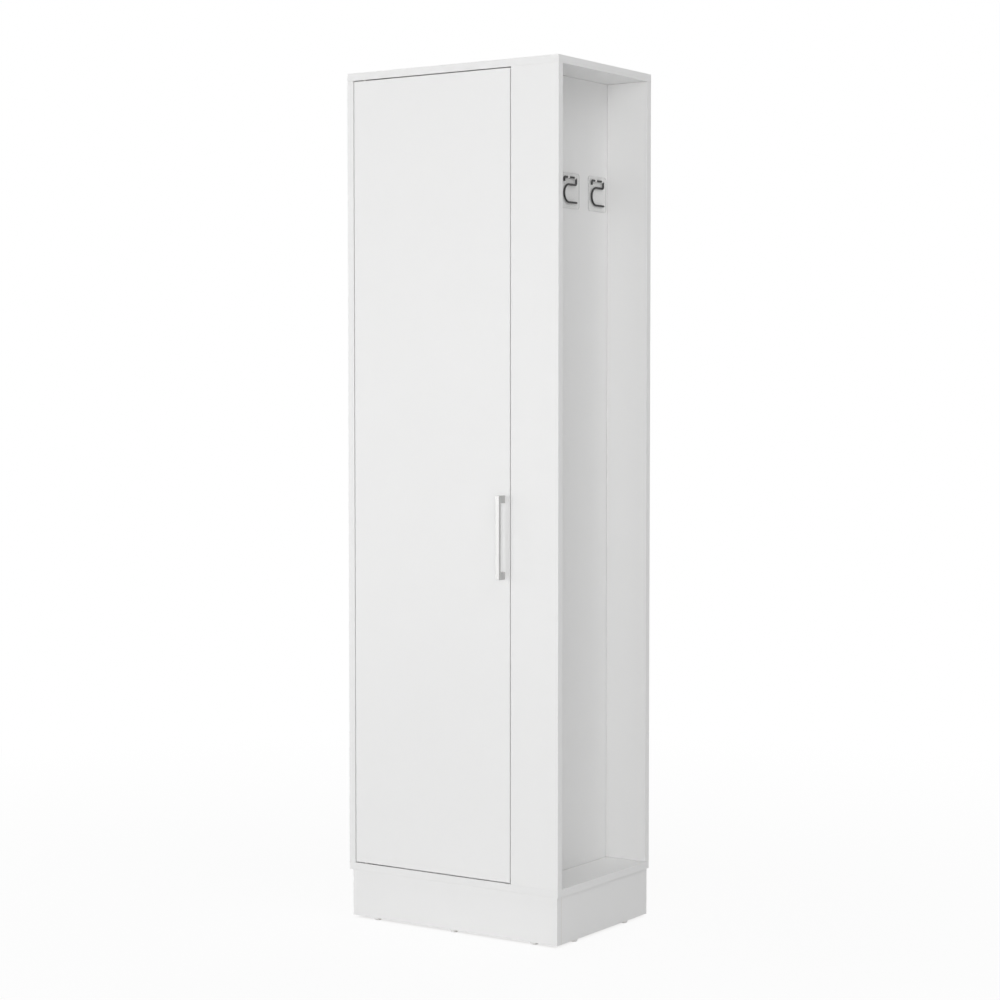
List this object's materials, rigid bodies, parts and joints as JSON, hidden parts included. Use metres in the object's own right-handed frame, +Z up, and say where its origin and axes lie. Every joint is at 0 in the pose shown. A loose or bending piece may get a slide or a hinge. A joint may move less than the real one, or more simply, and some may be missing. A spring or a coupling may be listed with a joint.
{
  "type": "broom cupboard",
  "caption": "Tall narrow white board cupboard: inset door with bar handle, shelves behind it, and an open niche at its right side with swinging wire hooks for a broom.",
  "frame": {"origin": "on the floor, at the middle of the bottom of the whole object's box, handle included", "axes": "+Z up, +Y to the back, +X to the right, towards the open niche; the door is at the front, on -Y"},
  "size_m": [0.5, 0.3664, 1.7],
  "materials": {
    "white_board": "white melamine board, satin, edge banded",
    "hardboard": "white-faced hardboard, brown at the back",
    "satin_metal": "satin nickel, finely brushed along the bar",
    "black_wire": "black coated steel wire, semi-gloss",
    "clear_plate": "translucent adhesive plastic plate",
    "glide_plastic": "grey nylon glides on steel nails",
    "white_plastic": "white moulded plastic",
    "zinc": "zinc plated steel and zinc castings",
    "beech": "fluted beech dowel",
    "magnet": "ferrite magnet between steel poles",
    "nylon": "natural nylon"
  },
  "bodies": {
    "carcass": {"top_panel": "white_board", "bottom_panel": "white_board", "left_side_panel": "white_board", "partition_panel": "white_board", "fixed_front_panel": "white_board", "niche_back_panel": "white_board", "fixed_shelf": "white_board", "adjustable_shelf_1": "white_board", "adjustable_shelf_2": "white_board", "adjustable_shelf_3": "white_board", "plinth_front": "white_board", "plinth_back": "white_board", "plinth_left": "white_board", "plinth_right": "white_board", "compartment_back_sheet": "hardboard", "hook_plate_front": "clear_plate", "hook_plate_rear": "clear_plate", "floor_glides": "glide_plastic", "plinth_brackets": "white_plastic", "lower_catch_housing": "white_plastic", "upper_catch_housing": "white_plastic", "cam_housings": "zinc", "cam_bolts": "zinc", "shelf_pins": "zinc", "lower_frame_leaf": "zinc", "upper_frame_leaf": "zinc", "frame_leaf_screws": "zinc", "catch_screws": "zinc", "dowels": "beech", "catch_magnets": "magnet", "pivot_washers": "nylon"},
    "door": {"door_panel": "white_board", "door_handle": "satin_metal", "handle_screws": "zinc", "lower_door_leaf": "zinc", "upper_door_leaf": "zinc", "door_leaf_screws": "zinc", "strike_plates": "zinc", "strike_screws": "zinc"},
    "hook_front": {"wire_hook_front": "black_wire"},
    "hook_rear": {"wire_hook_rear": "black_wire"}
  },
  "joints": [
    {"name": "door_hinge", "type": "hinge", "parent": "carcass", "child": "door", "pos_m": [-0.211, -0.15425, 0.8995], "axis": [0, 0, -1], "range_deg": [0, 130]},
    {"name": "hook_front_swing", "type": "hinge", "parent": "carcass", "child": "hook_front", "pos_m": [0.1605, 0.02575, 1.488], "axis": [0, -1, 0], "range_deg": [0, 150]},
    {"name": "hook_rear_swing", "type": "hinge", "parent": "carcass", "child": "hook_rear", "pos_m": [0.1605, 0.12825, 1.488], "axis": [0, -1, 0], "range_deg": [0, 150]}
  ]
}
